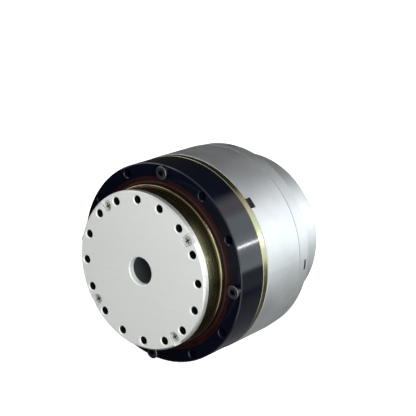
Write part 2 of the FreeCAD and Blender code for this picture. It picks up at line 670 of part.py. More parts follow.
def roller_spacers():
    """Square spacers, on edge in the groove, between the rollers."""
    side = ROLLER_DIAMETER * SPACER_SHARE
    pitch_length = 2 * math.pi * roller_pitch_radius / ROLLER_COUNT
    thickness = (pitch_length - ROLLER_DIAMETER) * SPACER_SHARE
    spacer = block(-side / 2, side / 2, thickness, -side / 2, side / 2)
    spacer.rotate(ORIGIN, FreeCAD.Vector(0, 0, 1), 45.0)
    spacer.translate(FreeCAD.Vector(roller_pitch_radius, roller_depth, 0))
    half_step = 180.0 / ROLLER_COUNT
    return around(spacer, spaced(half_step, ROLLER_COUNT))


# --- rotor: everything that turns with the input shaft ------------------------------------------------
def input_shaft():
    """Hollow shaft from the wave generator to the motor encoder."""
    seat = shaft_seat_radius
    solid = turned((shaft_bore_radius, front_bearing_front + TUBE_GAP),
                   (seat, front_bearing_front + TUBE_GAP), (seat, front_bearing_back),
                   (shaft_pilot_radius, front_bearing_back), (shaft_pilot_radius, wave_back),
                   (shaft_flange_radius, wave_back), (shaft_flange_radius, shaft_flange_back),
                   (shaft_body_radius, shaft_flange_back), (shaft_body_radius, stack_back),
                   (shaft_pilot_radius, stack_back), (shaft_pilot_radius, rear_bearing_front),
                   (seat, rear_bearing_front), (seat, motor_disc_back),
                   (shaft_bore_radius, motor_disc_back))
    thread = rod(M3_RADIUS + THREAD_CLEARANCE, wave_back - OVERCUT, shaft_flange_back + OVERCUT,
                 wave_screw_pitch_radius)
    return solid.cut(around(thread, spaced(WAVE_SCREW_FIRST_ANGLE, WAVE_SCREWS)))


def wave_generator_plug():
    """Elliptical cam that carries the wave generator's bearing."""
    solid = oval(wave_long_radius - plug_inset, wave_short_radius - plug_inset, wave_front, wave_back)
    solid = solid.cut(rod(shaft_pilot_radius, wave_front - OVERCUT, wave_back + OVERCUT))
    head_room = rod(M3_HEAD_RADIUS + HEAD_CLEARANCE, wave_front - OVERCUT,
                    wave_front + M3_HEAD_HEIGHT, wave_screw_pitch_radius)
    passage = rod(M3_RADIUS + THREAD_CLEARANCE, wave_front, wave_back + OVERCUT,
                  wave_screw_pitch_radius)
    return solid.cut(around(head_room.fuse(passage), spaced(WAVE_SCREW_FIRST_ANGLE, WAVE_SCREWS)))


def wave_screws():
    """Socket screws that hold the plug to the input shaft's flange."""
    seat = wave_front + M3_HEAD_HEIGHT
    screw = socket_screw(M3_RADIUS, M3_HEAD_RADIUS, M3_HEAD_HEIGHT, M3_HEX, seat,
                         shaft_flange_back - seat, wave_screw_pitch_radius)
    return around(screw, spaced(WAVE_SCREW_FIRST_ANGLE, WAVE_SCREWS))


def wave_inner_race():
    """Thin inner race, stretched over the plug."""
    return oval_ring(plug_inset - WAVE_RACE_WALL, WAVE_RACE_WALL, wave_front, wave_back)


def wave_outer_race():
    """Thin outer race, which follows the plug's shape and drives the flexspline's teeth outwards."""
    return oval_ring(0, WAVE_RACE_WALL, wave_front, wave_back)


def wave_balls():
    """Balls between the two thin races."""
    middle = (wave_front + wave_back) / 2
    balls = []
    for angle in spaced(0, WAVE_BALL_COUNT):
        turn = math.radians(angle)
        x = (wave_long_radius - ball_inset) * math.cos(turn)
        z = (wave_short_radius - ball_inset) * math.sin(turn)
        balls.append(Part.makeSphere(WAVE_BALL_RADIUS, FreeCAD.Vector(x, middle, z)))
    return balls


def front_bearing_inner_ring():
    """Inner ring of the front bearing, on the shaft's front seat."""
    return bearing_inner_race(shaft_seat_radius, front_bearing_front + TUBE_GAP / 2,
                              front_bearing_back)


def rear_bearing_inner_ring():
    """Inner ring of the rear bearing, clamped by the shaft nut."""
    return bearing_inner_race(shaft_seat_radius, rear_bearing_front, rear_bearing_back)


def rotor_core():
    """Steel wheel that carries the magnets."""
    web_front = (stack_front + stack_back - ROTOR_WEB_LENGTH) / 2
    web_back = web_front + ROTOR_WEB_LENGTH
    rim = rotor_core_radius - ROTOR_RIM_WALL
    hub = shaft_body_radius + ROTOR_HUB_WALL
    return turned((shaft_body_radius, stack_front), (hub, stack_front), (hub, web_front),
                  (rim, web_front), (rim, stack_front), (rotor_core_radius, stack_front),
                  (rotor_core_radius, stack_back), (rim, stack_back), (rim, web_back),
                  (hub, web_back), (hub, stack_back), (shaft_body_radius, stack_back))


def rotor_magnets():
    """Arc magnets around the rotor core."""
    arc = 360.0 / MAGNET_COUNT * MAGNET_SHARE
    magnet = turned((rotor_core_radius, stack_front), (rotor_radius, stack_front),
                    (rotor_radius, stack_back), (rotor_core_radius, stack_back), sweep=arc)
    return around(magnet, spaced(0, MAGNET_COUNT))


def shaft_nut():
    """Slotted nut behind the rear bearing."""
    nut = ring(shaft_seat_radius, nut_radius, rear_bearing_back, nut_back)
    slot = block(nut_radius - NUT_SLOT_DEPTH, nut_radius + OVERCUT, NUT_SLOT_WIDTH,
                 rear_bearing_back - OVERCUT, nut_back + OVERCUT)
    return nut.cut(around(slot, spaced(POST_FIRST_ANGLE, 4)))


def motor_encoder_disc():
    """Magnetic disc at the shaft's rear end that reads the rotor's angle."""
    return ring(shaft_seat_radius, MOTOR_DISC_RADIUS, nut_back, motor_disc_back)


# --- base: everything that stays with the robot arm -----------------------------------------------------
def flange_holes(front, back):
    """Tools for the holes that go right through the flange: its own screws' and the arm bolts'."""
    screw_hole = rod(FLANGE_SCREW_HOLE_RADIUS, front - OVERCUT, back + OVERCUT, flange_pitch_radius)
    clear_hole = rod(FLANGE_CLEAR_RADIUS, front - OVERCUT, back + OVERCUT, flange_pitch_radius)
    return (around(screw_hole, spaced(FLANGE_FIRST_ANGLE, FLANGE_GROUPS))
            + around(clear_hole, spaced(flange_clear_first_angle, FLANGE_GROUPS)))


def bearing_outer_ring():
    """Black mounting flange, which is also the crossed roller bearing's outer ring."""
    seat_back = flange_front + SEAL_SEAT_LENGTH
    apex = roller_pitch_radius + groove_reach
    mouth = apex - race_outer_radius
    edge = FLANGE_CHAMFER
    solid = turned((seal_seat_radius, flange_front), (flange_radius - edge, flange_front),
                   (flange_radius, flange_front + edge), (flange_radius, flange_back),
                   (race_outer_radius, flange_back), (race_outer_radius, roller_depth + mouth),
                   (apex, roller_depth), (race_outer_radius, roller_depth - mouth),
                   (race_outer_radius, seat_back), (seal_seat_radius, seat_back))
    tapped = rod(FLANGE_TAPPED_RADIUS, flange_front - OVERCUT, flange_back + OVERCUT,
                 flange_pitch_radius)
    lead_front = flange_front + FLANGE_TAPPED_MOUTH_RADIUS - FLANGE_TAPPED_LEAD_RADIUS
    lead_back = lead_front + FLANGE_TAPPED_LEAD_LENGTH
    mouth = cone(FLANGE_TAPPED_MOUTH_RADIUS + OVERCUT, FLANGE_TAPPED_LEAD_RADIUS,
                 flange_front - OVERCUT, lead_front, flange_pitch_radius)
    lead = cone(FLANGE_TAPPED_LEAD_RADIUS, FLANGE_TAPPED_RADIUS, lead_front, lead_back,
                flange_pitch_radius)
    bevel = cone(FLANGE_CLEAR_RADIUS + HOLE_CHAMFER + OVERCUT, FLANGE_CLEAR_RADIUS,
                 flange_front - OVERCUT, flange_front + HOLE_CHAMFER, flange_pitch_radius)
    tools = flange_holes(flange_front, flange_back)
    tools += around(bevel, spaced(flange_clear_first_angle, FLANGE_GROUPS))
    tools += around(tapped.fuse([mouth, lead]), spaced(flange_tapped_first_angle, FLANGE_GROUPS))
    return solid.cut(tools)


def oil_seal():
    """Lip seal pressed into the flange around the bearing's rotating rim."""
    front = flange_front + SEAL_RECESS
    back = flange_front + SEAL_SEAT_LENGTH
    outer = seal_seat_radius - SEAL_FIT
    rim = outer - SEAL_RIM_WIDTH
    lip = rim_radius + SEAL_LIP_GAP
    groove = front + SEAL_GROOVE
    web_back = groove + SEAL_WEB_THICKNESS
    return turned((outer, front), (rim, front), (rim - SEAL_GROOVE, groove),
                  (lip + SEAL_LIP_WIDTH, groove), (lip + SEAL_LIP_EDGE, groove - SEAL_LIP_RISE),
                  (lip, groove - SEAL_LIP_RISE), (lip, groove + SEAL_LIP_EDGE),
                  (lip + SEAL_LIP_WIDTH, web_back), (rim, web_back), (rim, back), (outer, back))


def flange_screws():
    """Socket screws through the flange and the flexspline into the motor housing."""
    length = housing_front + M4_THREAD_DEPTH - OVERCUT - flange_front
    screw = socket_screw(M4_RADIUS, M4_HEAD_RADIUS, M4_HEAD_HEIGHT, M4_HEX, flange_front, length,
                         flange_pitch_radius)
    return around(screw, spaced(FLANGE_FIRST_ANGLE, FLANGE_GROUPS))


def flexspline():
    """Thin toothed cup with a diaphragm that turns outwards into the clamped flange."""
    edge = PARTING_CHAMFER
    web_front = flange_back + DIAPHRAGM_SETBACK
    web_back = web_front + DIAPHRAGM_WALL
    cup_outer = flex_bore_radius + FLEX_CUP_WALL
    thickening = housing_front - web_back
    cup_front = teeth_back + FLEX_FACE_EXTRA
    solid = turned((flex_bore_radius, cup_front), (cup_outer, cup_front), (cup_outer, web_front),
                   (diaphragm_radius, web_front),
                   (diaphragm_radius + DIAPHRAGM_SETBACK, flange_back),
                   (flex_flange_radius - edge, flange_back), (flex_flange_radius, flange_back + edge),
                   (flex_flange_radius, housing_front - edge),
                   (flex_flange_radius - edge, housing_front),
                   (diaphragm_radius + thickening, housing_front),
                   (diaphragm_radius, web_back), (flex_bore_radius, web_back))
    solid = rounded(solid, CUP_BEND_RADIUS, (cup_outer, web_front))
    solid = rounded(solid, CUP_BEND_RADIUS + FLEX_CUP_WALL, (flex_bore_radius, web_back))
    teeth_start = teeth_front - FLEX_FACE_EXTRA
    outline = toothed_outline(FLEX_TEETH, flex_root_radius, flex_tip_radius)
    teeth = prism(outline, teeth_start, cup_front)
    teeth = teeth.cut(rod(flex_bore_radius, teeth_start - OVERCUT, cup_front + OVERCUT))
    return solid.cut(flange_holes(flange_back, housing_front)).fuse(teeth)


def motor_housing():
    """Silver housing: threaded front ring, stator bore and the seat of the bearing plate."""
    edge = PARTING_CHAMFER
    bore = stator_radius + STATOR_FIT
    seat = bearing_plate_radius + BEARING_PLATE_FIT
    solid = turned((race_outer_radius, housing_front), (housing_radius - edge, housing_front),
                   (housing_radius, housing_front + edge), (housing_radius, housing_back - edge),
                   (housing_radius - edge, housing_back), (seat, housing_back),
                   (seat, bearing_plate_front), (bore, bearing_plate_front), (bore, stack_front),
                   (race_outer_radius, stack_front))
    thread = rod(M4_RADIUS + THREAD_CLEARANCE, housing_front - OVERCUT,
                 housing_front + M4_THREAD_DEPTH, flange_pitch_radius)
    tools = around(thread, spaced(FLANGE_FIRST_ANGLE, FLANGE_GROUPS))
    tools += around(thread, spaced(flange_clear_first_angle, FLANGE_GROUPS))
    rear_thread = rod(M3_RADIUS + THREAD_CLEARANCE, bearing_plate_front - M3_THREAD_DEPTH,
                      bearing_plate_front + OVERCUT, rear_screw_pitch_radius)
    tools += around(rear_thread, spaced(0, 2 * REAR_SCREWS))
    key_slot = block(key_floor_radius, housing_radius + OVERCUT, KEY_WIDTH,
                     housing_front - OVERCUT, housing_front + KEY_LENGTH)
    tools += around(key_slot, [KEY_ANGLE])
    return solid.cut(tools)


def locating_key():
    """Dark key in the slot at the housing's front edge, a little below the surface."""
    key = block(key_floor_radius, housing_radius - KEY_RECESS, KEY_WIDTH - 2 * KEY_FIT,
                housing_front, housing_front + KEY_LENGTH - KEY_FIT)
    return around(key, [KEY_ANGLE])


def stator_core():
    """Laminated ring with a tooth for each coil."""
    solid = ring(stator_bore_radius, stator_radius, stack_front, stack_back)
    half_pitch = 180.0 / STATOR_SLOTS
    half_tooth = STATOR_TOOTH_WIDTH / 2

    def slot_edge(radius):
        return half_pitch - math.degrees(math.asin(half_tooth / radius))

    corners = [polar(shoe_radius, -slot_edge(shoe_radius)),
               polar(slot_floor_radius, -slot_edge(slot_floor_radius)),
               polar(slot_floor_radius, slot_edge(slot_floor_radius)),
               polar(shoe_radius, slot_edge(shoe_radius))]
    pocket = prism(corners, stack_front - OVERCUT, stack_back + OVERCUT)
    mouth = block(stator_bore_radius - OVERCUT, shoe_radius + OVERCUT, SLOT_MOUTH,
                  stack_front - OVERCUT, stack_back + OVERCUT)
    return solid.cut(around(pocket.fuse(mouth), spaced(half_pitch, STATOR_SLOTS)))


def stator_coils():
    """One wound coil around each stator tooth."""
    near = shoe_radius + COIL_END_CLEARANCE
    far = slot_floor_radius * math.cos(math.pi / STATOR_SLOTS) - COIL_END_CLEARANCE
    inner_width = STATOR_TOOTH_WIDTH + 2 * COIL_FIT
    coil = block(near, far, inner_width + 2 * COIL_WALL, stack_front - COIL_OVERHANG,
                 stack_back + COIL_OVERHANG)
    corners = [edge for edge in coil.Edges if abs(edge.tangentAt(edge.FirstParameter).x) > 0.99]
    coil = coil.makeFillet(COIL_WALL, corners)
    coil = coil.cut(block(near - OVERCUT, far + OVERCUT, inner_width, stack_front - COIL_FIT,
                          stack_back + COIL_FIT))
    return around(coil, spaced(0, STATOR_SLOTS))


def bearing_plate():
    """Plate behind the motor with the boss for the rear bearing."""
    boss_front = rear_bearing_front - BOSS_LIP_LENGTH
    boss_back = rear_bearing_back + 2 * CIRCLIP_THICKNESS
    lip = rear_bearing_radius - BOSS_LIP_HEIGHT
    groove = rear_bearing_radius + CIRCLIP_BITE
    groove_back = rear_bearing_back + CIRCLIP_THICKNESS
    solid = turned((lip, boss_front), (rear_boss_radius, boss_front),
                   (rear_boss_radius, bearing_plate_front), (bearing_plate_radius, bearing_plate_front),
                   (bearing_plate_radius, housing_back), (rear_boss_radius, housing_back),
                   (rear_boss_radius, boss_back), (rear_bearing_radius, boss_back),
                   (rear_bearing_radius, groove_back), (groove, groove_back),
                   (groove, rear_bearing_back), (rear_bearing_radius, rear_bearing_back),
                   (rear_bearing_radius, rear_bearing_front), (lip, rear_bearing_front))
    front = bearing_plate_front - OVERCUT
    sink = countersink(M3_FLAT_HEAD_RADIUS, M3_RADIUS + THREAD_CLEARANCE, housing_back, front,
                       rear_screw_pitch_radius, facing=-1)
    tools = around(sink, spaced(0, REAR_SCREWS))
    passage = rod(M3_RADIUS + HEAD_CLEARANCE, front, housing_back + OVERCUT, rear_screw_pitch_radius)
    tools += around(passage, spaced(180.0 / REAR_SCREWS, REAR_SCREWS))
    post_thread = rod(M3_RADIUS + THREAD_CLEARANCE, front, housing_back + OVERCUT, post_pitch_radius)
    tools += around(post_thread, spaced(POST_FIRST_ANGLE, POST_COUNT))
    return solid.cut(tools)


def bearing_plate_screws():
    """Countersunk screws that hold the bearing plate in the motor housing."""
    length = BEARING_PLATE_THICKNESS + M3_THREAD_DEPTH - OVERCUT
    screw = flat_screw(M3_RADIUS, M3_FLAT_HEAD_RADIUS, housing_back, length,
                       rear_screw_pitch_radius, facing=-1)
    return around(screw, spaced(0, REAR_SCREWS))


def rear_bearing_outer_ring():
    """Outer ring of the rear bearing, in the bearing plate's boss."""
    return shielded_outer_race(shaft_seat_radius, rear_bearing_radius,
                               rear_bearing_front, rear_bearing_back)


def rear_bearing_circlip():
    """Open retaining ring in the groove behind the rear bearing."""
    outer = rear_bearing_radius + CIRCLIP_BITE
    clip = ring(outer - CIRCLIP_WIDTH, outer, rear_bearing_back, rear_bearing_back + CIRCLIP_THICKNESS)
    mouth = block(outer - CIRCLIP_WIDTH - OVERCUT, outer + OVERCUT, CIRCLIP_MOUTH,
                  rear_bearing_back - OVERCUT, rear_bearing_back + CIRCLIP_THICKNESS + OVERCUT)
    return clip.cut(around(mouth, [90.0]))


def rear_housing():
    """Slightly tapered ring behind the motor housing, closed by a wall that carries the cover."""
    edge = PARTING_CHAMFER
    rear_radius = housing_radius - REAR_HOUSING_TAPER
    wall_front = rear_face - REAR_WALL_THICKNESS
    solid = turned((rear_housing_bore_radius, housing_back), (housing_radius - edge, housing_back),
                   (housing_radius, housing_back + edge), (rear_radius, rear_face),
                   (rear_opening_radius, rear_face), (rear_opening_radius, wall_front),
                   (rear_housing_bore_radius, wall_front))
    solid = rounded(solid, REAR_EDGE_ROUND, (rear_radius, rear_face))
    head_front = rear_face - M3_HEAD_HEIGHT - HEAD_CLEARANCE
    head_room = rod(M3_HEAD_RADIUS + HEAD_CLEARANCE, head_front, rear_face + OVERCUT,
                    rear_screw_pitch_radius)
    passage = rod(M3_RADIUS + HEAD_CLEARANCE, housing_back - OVERCUT, head_front + OVERCUT,
                  rear_screw_pitch_radius)
    tools = around(head_room.fuse(passage), spaced(180.0 / REAR_SCREWS, REAR_SCREWS))
    slot_back = rear_face - SPANNER_SLOT_SETBACK
    slot = block(housing_radius - SPANNER_SLOT_DEPTH, housing_radius + OVERCUT, SPANNER_SLOT_WIDTH,
                 slot_back - SPANNER_SLOT_LENGTH, slot_back)
    tools += around(slot, spaced(SPANNER_SLOT_FIRST_ANGLE, SPANNER_SLOTS))
    return solid.cut(tools)


def rear_housing_screws():
    """Socket screws, entered from behind, that hold the rear housing to the motor housing."""
    seat = rear_face - M3_HEAD_HEIGHT - HEAD_CLEARANCE
    length = seat - (bearing_plate_front - M3_THREAD_DEPTH + OVERCUT)
    screw = socket_screw(M3_RADIUS, M3_HEAD_RADIUS, M3_HEAD_HEIGHT, M3_HEX, 0, length, 0)
    screw.rotate(ORIGIN, FreeCAD.Vector(1, 0, 0), 180)
    screw.translate(FreeCAD.Vector(rear_screw_pitch_radius, seat, 0))
    return around(screw, spaced(180.0 / REAR_SCREWS, REAR_SCREWS))


def rear_cover():
    """Cup over the electronics, with cut-outs for the two sockets and a hole for the cable tube."""
    spigot_front = rear_face - SPIGOT_LENGTH
    spigot_back = rear_face + SPIGOT_LENGTH
    hole = tube_radius + COVER_GAP
    solid = turned((spigot_bore_radius, spigot_front), (spigot_radius, spigot_front),
                   (spigot_radius, rear_face), (cover_radius, rear_face), (cover_radius, cover_back),
                   (hole, cover_back), (hole, cover_wall_front), (cover_bore_radius, cover_wall_front),
                   (cover_bore_radius, spigot_back), (spigot_bore_radius, spigot_back))
    solid = rounded(solid, COVER_ROUND, (cover_radius, cover_back))
    sink = countersink(M3_FLAT_HEAD_RADIUS, M3_RADIUS + THREAD_CLEARANCE, cover_back,
                       cover_wall_front - OVERCUT, post_pitch_radius, facing=-1)
    tools = around(sink, spaced(POST_FIRST_ANGLE, POST_COUNT))
    for angle, width, height, _, _ in (POWER_SOCKET, SIGNAL_SOCKET):
        window = block(socket_pitch_radius - height / 2 - SOCKET_FIT,
                       socket_pitch_radius + height / 2 + SOCKET_FIT,
                       width + 2 * SOCKET_FIT, cover_wall_front - OVERCUT, cover_back + OVERCUT)
        tools += around(window, [angle])
    return solid.cut(tools)


def cover_screws():
    """Countersunk screws through the rear cover into the rear posts."""
    screw = flat_screw(M3_RADIUS, M3_FLAT_HEAD_RADIUS, cover_back, COVER_BACK_WALL + COVER_SCREW_THREAD,
                       post_pitch_radius, facing=-1)
    return around(screw, spaced(POST_FIRST_ANGLE, POST_COUNT))


def posts(front, back, front_stud=0.0, rear_stud=0.0, front_hole=0.0, rear_hole=0.0):
    """Round posts that carry the boards, with a stud or a threaded hole at either end."""
    post = rod(POST_RADIUS, front, back, post_pitch_radius)
    if front_stud > 0:
        post = post.fuse(rod(M3_RADIUS, front - front_stud, front, post_pitch_radius))
    if rear_stud > 0:
        post = post.fuse(rod(M3_RADIUS, back, back + rear_stud, post_pitch_radius))
    if front_hole > 0:
        post = post.cut(rod(M3_RADIUS + THREAD_CLEARANCE, front - OVERCUT, front + front_hole,
                            post_pitch_radius))
    if rear_hole > 0:
        post = post.cut(rod(M3_RADIUS + THREAD_CLEARANCE, back - rear_hole, back + OVERCUT,
                            post_pitch_radius))
    return around(post, spaced(POST_FIRST_ANGLE, POST_COUNT))


def lower_posts():
    """Posts from the bearing plate to the encoder board."""
    return posts(housing_back, encoder_board_front, front_stud=POST_STUD_LENGTH,
                 rear_stud=BOARD_THICKNESS + POST_STUD_LENGTH)


def middle_posts():
    """Posts between the encoder board and the driver board."""
    return posts(encoder_board_back, driver_board_front, front_hole=POST_STUD_LENGTH + POST_STUD_GAP,
                 rear_stud=BOARD_THICKNESS + POST_STUD_LENGTH)


def rear_posts():
    """Posts from the driver board to the rear cover's wall, threaded for the cover's screws."""
    return posts(driver_board_back, cover_wall_front, front_hole=POST_STUD_LENGTH + POST_STUD_GAP,
                 rear_hole=COVER_SCREW_THREAD + POST_STUD_GAP)


def board(bore, front):
    """Round circuit board with a hole for each stud."""
    solid = ring(bore, board_radius, front, front + BOARD_THICKNESS)
    hole = rod(M3_RADIUS + THREAD_CLEARANCE, front - OVERCUT, front + BOARD_THICKNESS + OVERCUT,
               post_pitch_radius)
    return solid.cut(around(hole, spaced(POST_FIRST_ANGLE, POST_COUNT)))


def encoder_board():
    """Board between the two encoder discs."""
    return board(ENCODER_BOARD_BORE_RADIUS, encoder_board_front)


def encoder_sensors():
    """Reading chips on the encoder board, one over each disc."""
    near = MOTOR_DISC_RADIUS - SENSOR_SIZE
    motor_side = block(near, near + SENSOR_SIZE, SENSOR_SIZE, encoder_board_front - SENSOR_THICKNESS,
                       encoder_board_front)
    output_near = OUTPUT_DISC_RADIUS - SENSOR_SIZE
    output_side = block(output_near, output_near + SENSOR_SIZE, SENSOR_SIZE, encoder_board_back,
                        encoder_board_back + SENSOR_THICKNESS)
    return [motor_side] + around(output_side, [180.0])


def driver_board():
    """Motor drive board behind the encoder board."""
    return board(DRIVER_BOARD_BORE_RADIUS, driver_board_front)


def drive_capacitors():
    """Smoothing capacitors on the driver board."""
    capacitor = rod(CAPACITOR_RADIUS, driver_board_back, driver_board_back + CAPACITOR_HEIGHT,
                    capacitor_pitch_radius)
    return around(capacitor, CAPACITOR_ANGLES)


def drive_switches():
    """Power transistors on the driver board."""
    near = switch_pitch_radius - SWITCH_SIZE / 2
    switch = block(near, near + SWITCH_SIZE, SWITCH_SIZE, driver_board_back,
                   driver_board_back + SWITCH_THICKNESS)
    return around(switch, SWITCH_ANGLES)


def flat_pins(columns, rows):
    """Square pins of a socket at angle 0, in columns and rows about its middle."""
    pins = []
    for row in range(rows):
        for column in range(columns):
            radius = socket_pitch_radius + (row - (rows - 1) / 2) * PIN_PITCH
            pin = block(radius - PIN_WIDTH / 2, radius + PIN_WIDTH / 2, PIN_WIDTH, driver_board_back,
                        driver_board_back + SOCKET_FLOOR + PIN_LENGTH)
            pin.translate(FreeCAD.Vector(0, 0, (column - (columns - 1) / 2) * PIN_PITCH))
            pins.append(pin)
    return pins


def socket_shell(angle, width, height, columns, rows):
    """Open box on the driver board that a plug goes into from behind."""
    near = socket_pitch_radius - height / 2
    far = socket_pitch_radius + height / 2
    mouth = cover_back - SOCKET_MOUTH_SETBACK
    shell = block(near, far, width, driver_board_back, mouth)
    cavity = block(near + SOCKET_WALL, far - SOCKET_WALL, width - 2 * SOCKET_WALL,
                   driver_board_back + SOCKET_FLOOR, mouth + OVERCUT)
    return around(shell.cut([cavity] + flat_pins(columns, rows)), [angle])


def power_socket():
    """Socket for the supply."""
    return socket_shell(*POWER_SOCKET)


def signal_socket():
    """Socket for the control bus."""
    return socket_shell(*SIGNAL_SOCKET)


def socket_pins():
    """Contact pins of both sockets."""
    pins = []
    for angle, _, _, columns, rows in (POWER_SOCKET, SIGNAL_SOCKET):
        for pin in flat_pins(columns, rows):
            pins += around(pin, [angle])
    return pins


PIECES = (output_plate, plate_screws, circular_spline, spline_screws, bearing_inner_ring,
          front_bearing_outer_ring, cable_tube, output_encoder_disc, crossed_rollers, roller_spacers,
          input_shaft, wave_generator_plug, wave_screws, wave_inner_race, wave_outer_race, wave_balls,
          front_bearing_inner_ring, rear_bearing_inner_ring, rotor_core, rotor_magnets, shaft_nut,
          motor_encoder_disc, bearing_outer_ring, oil_seal, flange_screws, flexspline, motor_housing,
          locating_key, stator_core, stator_coils, bearing_plate, bearing_plate_screws,
          rear_bearing_outer_ring, rear_bearing_circlip, rear_housing, rear_housing_screws, rear_cover,
          cover_screws, lower_posts, middle_posts, rear_posts, encoder_board,
          encoder_sensors, driver_board, drive_capacitors, drive_switches, power_socket, signal_socket,
          socket_pins)


def write_piece(make):
    """Write one node's STEP file, as one solid or as a group of separate solids."""
    made = make()
    shapes = made if isinstance(made, list) else [made]
    solids = [solid for shape in shapes for solid in shape.Solids]
    node = solids[0] if len(solids) == 1 else Part.makeCompound(solids)
    node.exportStep("parts/%s.step" % make.__name__)


os.makedirs("parts", exist_ok=True)
for piece in PIECES:
    write_piece(piece)
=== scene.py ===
"""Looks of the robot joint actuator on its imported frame. Metres; the joint axis is +Y and +Z is up."""
import json
import math

import bpy
from mathutils import Matrix, Vector


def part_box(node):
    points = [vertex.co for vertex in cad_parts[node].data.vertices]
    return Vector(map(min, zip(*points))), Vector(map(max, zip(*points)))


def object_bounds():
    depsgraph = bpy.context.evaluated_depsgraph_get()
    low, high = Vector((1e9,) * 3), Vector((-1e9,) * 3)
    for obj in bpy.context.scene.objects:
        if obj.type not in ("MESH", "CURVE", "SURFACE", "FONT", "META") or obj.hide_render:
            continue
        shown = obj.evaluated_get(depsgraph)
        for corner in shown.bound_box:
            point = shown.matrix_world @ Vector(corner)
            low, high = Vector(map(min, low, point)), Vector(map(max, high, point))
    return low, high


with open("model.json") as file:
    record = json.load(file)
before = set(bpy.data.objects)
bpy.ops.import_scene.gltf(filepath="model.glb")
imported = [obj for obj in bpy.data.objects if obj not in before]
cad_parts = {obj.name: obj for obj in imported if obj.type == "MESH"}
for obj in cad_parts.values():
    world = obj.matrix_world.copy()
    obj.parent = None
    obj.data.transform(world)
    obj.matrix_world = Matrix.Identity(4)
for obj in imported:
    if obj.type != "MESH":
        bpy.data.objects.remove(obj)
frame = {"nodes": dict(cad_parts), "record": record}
CAD_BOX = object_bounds()
NODES = frame["nodes"]
RECORD = frame["record"]

MM = 0.001
MICRON = 0.001 * MM

# Tilt of a face: 0 for a wall along the joint axis, 1 for a flat face across it, bevels in between
WALL_TILT = 0.3
FLAT_TILT = 0.95

# Zones with a look of their own, some of them painted shade or highlight, measured from the edges of
# their pieces
PLATE_EDGE_WIDTH = 1.8 * MM     # band around the output plate, outside its bolt holes
PLATE_HOLE_BAND = 11.2 * MM     # band inside that one, with the walls of the bolt holes in it, painted black as shade
PLATE_HOLE_LIP = 0.65 * MM      # lip at the mouth of each bolt hole, which keeps the bright face colour outside the painted shade
CROSS_FACE_DEPTH = 0.02 * MM    # what lies deeper in a plate screw is its cross recess
HEAD_FACE_DEPTH = 0.5 * MM      # worn face of a flange screw's head; its socket's floor lies deeper
HEAD_BEVEL_DEPTH = 1.3 * MM     # bevel around that face, painted lighter still as a highlight
SLOT_FRONT_SETBACK = 5.0 * MM   # spanner slots are painted black as shade between these distances from the rear face
SLOT_BACK_SETBACK = 3.1 * MM
SLOT_FLOOR_DEPTH = 2.0 * MM     # and between these depths under the housing's skin
SLOT_MOUTH_DEPTH = 0.7 * MM
RIM_BEVEL_DEPTH = 0.5 * MM      # bevels of the housing's outer rim lie within this depth

# Stretch that draws noise out into fine rings around the joint axis
RING_STRETCH = (0.02, 4, 0.02)


# --- node trees ---------------------------------------------------------------------------------
def srgb(text):
    """Linear colour from a hexadecimal screen colour."""
    values = [int(text[i:i + 2], 16) / 255 for i in (0, 2, 4)]
    linear = [v / 12.92 if v <= 0.04045 else ((v + 0.055) / 1.055) ** 2.4 for v in values]
    return (*linear, 1.0)


def grey(level):
    """Linear grey, from 0 for black to 1 for white."""
    return (level, level, level, 1.0)


class Tree:
    """Node tree of a material or of the world, with a short call for each kind of node."""

    def __init__(self, owner):
        owner.use_nodes = True
        self.nodes = owner.node_tree.nodes
        self.links = owner.node_tree.links

    def feed(self, socket, value):
        """The socket follows another one, or takes a hexadecimal colour, a number or a vector."""
        if isinstance(value, bpy.types.NodeSocket):
            self.links.new(value, socket)
        elif isinstance(value, str):
            socket.default_value = srgb(value)
        else:
            socket.default_value = value

    def split(self, vector):
        """Sockets X, Y and Z of a vector."""
        node = self.nodes.new("ShaderNodeSeparateXYZ")
        self.feed(node.inputs["Vector"], vector)
        return node.outputs

    def compute(self, operation, *values):
        """Result of a calculation with sockets or numbers."""
        node = self.nodes.new("ShaderNodeMath")
        node.operation = operation
        for socket, value in zip(node.inputs, values):
            self.feed(socket, value)
        return node.outputs["Value"]

    def ranged(self, value, low, high, start=0.3, end=0.7, curve="LINEAR"):
        """Value mapped from start..end, by default the reach of a noise, to low..high."""
        node = self.nodes.new("ShaderNodeMapRange")
        node.interpolation_type = curve
        self.feed(node.inputs["Value"], value)
        self.feed(node.inputs["From Min"], start)
        self.feed(node.inputs["From Max"], end)
        self.feed(node.inputs["To Min"], low)
        self.feed(node.inputs["To Max"], high)
        return node.outputs["Result"]

    def mix(self, factor, first, second):
        """Colour between first and second by factor."""
        node = self.nodes.new("ShaderNodeMix")
        node.data_type = "RGBA"
        self.feed(node.inputs["Factor"], factor)
        self.feed(node.inputs["A"], first)
        self.feed(node.inputs["B"], second)
        return node.outputs["Result"]

    def scaled(self, vector, factor):
        """Vector times a number."""
        node = self.nodes.new("ShaderNodeVectorMath")
        node.operation = "SCALE"
        self.feed(node.inputs[0], vector)
        self.feed(node.inputs["Scale"], factor)
        return node.outputs["Vector"]

    def added(self, first, second):
        """Sum of two vectors."""
        node = self.nodes.new("ShaderNodeVectorMath")
        node.operation = "ADD"
        self.feed(node.inputs[0], first)
        self.feed(node.inputs[1], second)
        return node.outputs["Vector"]


